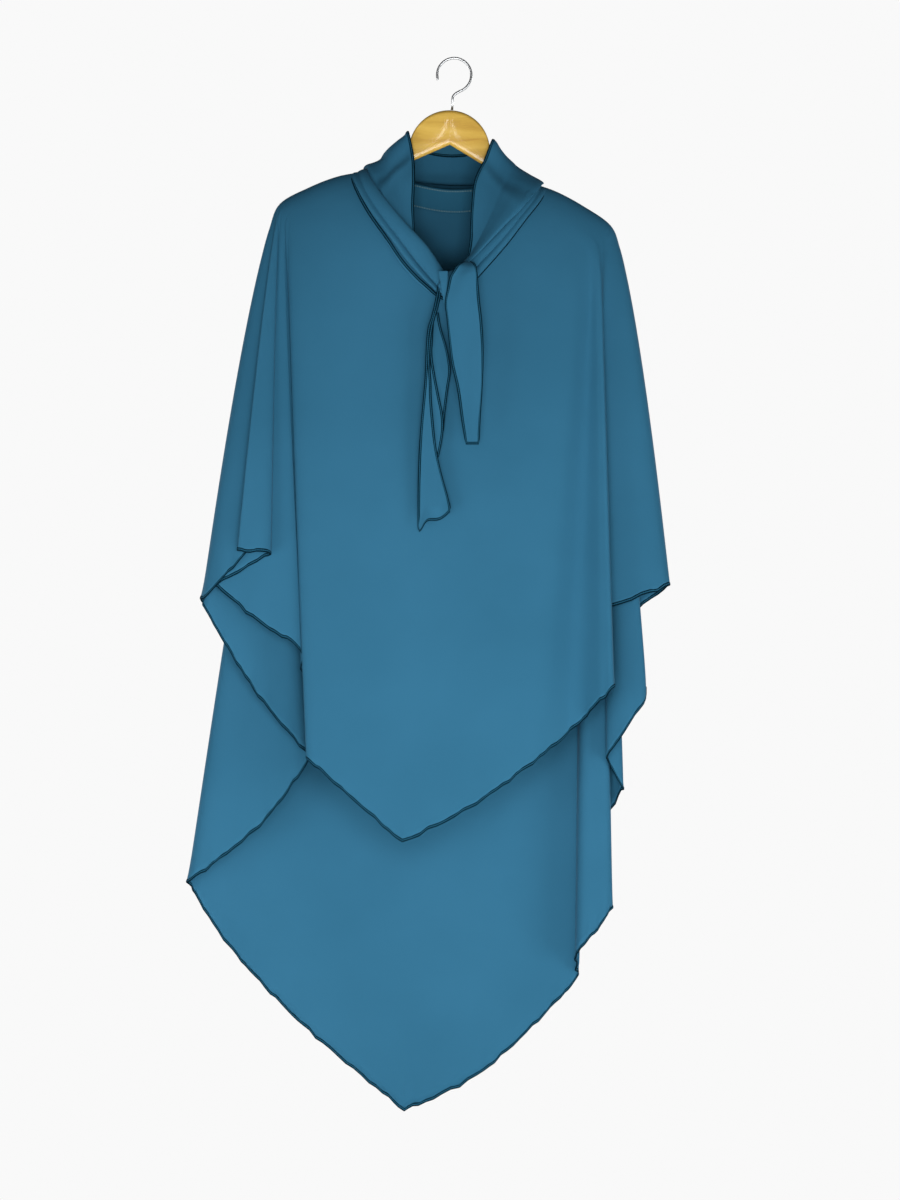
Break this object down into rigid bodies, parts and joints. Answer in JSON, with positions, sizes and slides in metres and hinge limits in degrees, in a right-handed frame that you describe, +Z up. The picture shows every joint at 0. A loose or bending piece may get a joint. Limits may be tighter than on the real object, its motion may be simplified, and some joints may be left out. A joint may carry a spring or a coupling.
{
  "type": "khimar veil on wooden hanger",
  "caption": "Plain pointed khimar veil with a fallen hood and a knotted neck tie, hanging on a flat wooden hanger.",
  "frame": {"origin": "inside top of the hanger's hook, where it hangs on its rail", "axes": "+Z up, -Y the front of the veil, +X the right side as seen from the front"},
  "size_m": [0.6431, 0.1887, 1.4064],
  "materials": {
    "cloth": "matte plain weave",
    "band_cloth": "matte plain weave",
    "wood": "clear varnish",
    "wire": "plain steel wire"
  },
  "bodies": {
    "root": {"cape": "cloth", "hood": "cloth", "nape_band": "band_cloth", "neck_tie": "cloth", "knot": "cloth", "tail_short": "cloth", "tail_long": "cloth", "hanger_wood": "wood", "hanger_hook": "wire"}
  },
  "joints": []
}
